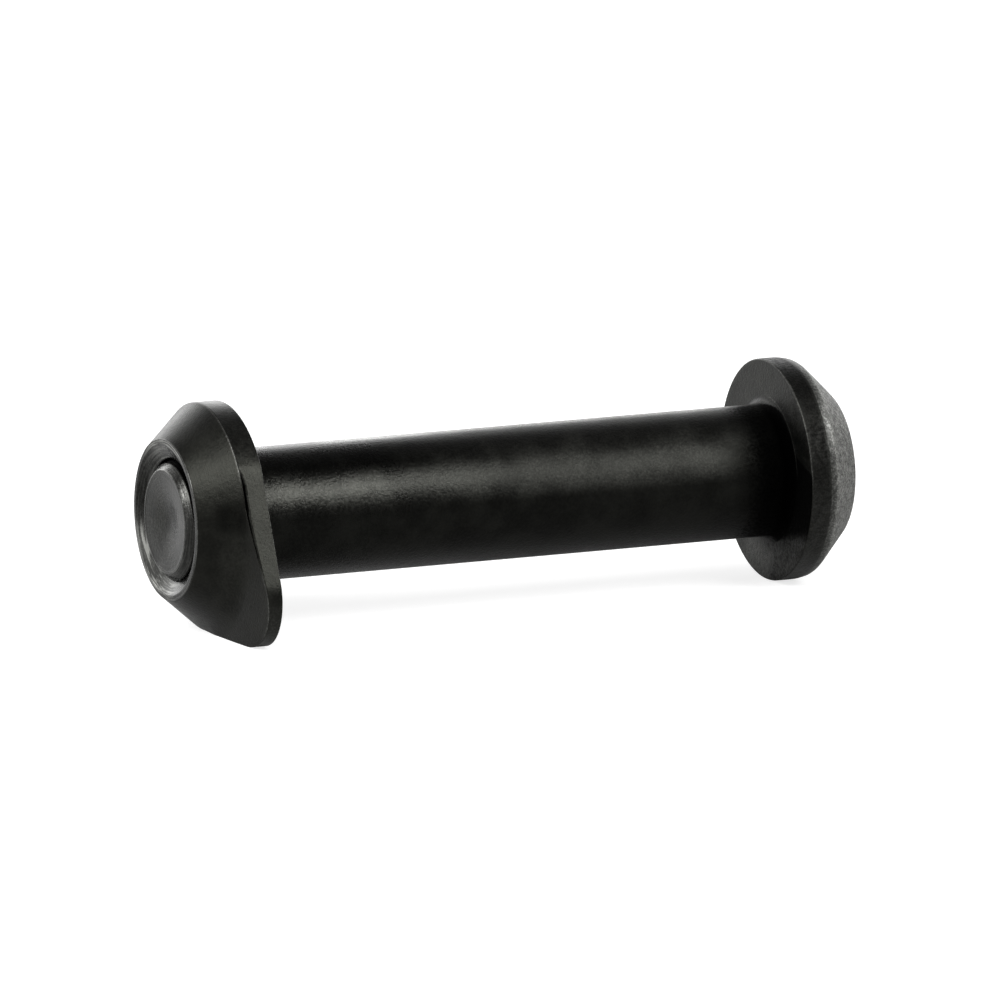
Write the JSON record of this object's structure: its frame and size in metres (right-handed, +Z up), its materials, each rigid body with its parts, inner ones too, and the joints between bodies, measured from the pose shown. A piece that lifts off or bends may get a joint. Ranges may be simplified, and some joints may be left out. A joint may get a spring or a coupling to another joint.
{
  "type": "axle bolt",
  "caption": "Dark steel axle bolt with a round coned head, a plain shank and a lobed conical nut that screws onto its dished end.",
  "frame": {"origin": "middle of the grip length, on the shank's axis", "axes": "+X along the shank from the nut to the head, +Z up with the part lying on its rims"},
  "size_m": [0.0437, 0.0156, 0.0137],
  "materials": {
    "bolt_steel": "black oxide, satin, worn at the edges",
    "nut_steel": "black oxide, satin, turned ring face"
  },
  "bodies": {
    "bolt": {"axle_bolt": "bolt_steel"},
    "nut": {"lobed_nut": "nut_steel"}
  },
  "joints": [
    {"name": "nut_unscrew", "type": "slide", "parent": "bolt", "child": "nut", "axis": [-1, 0, 0], "range_m": [0, 0.045]}
  ]
}
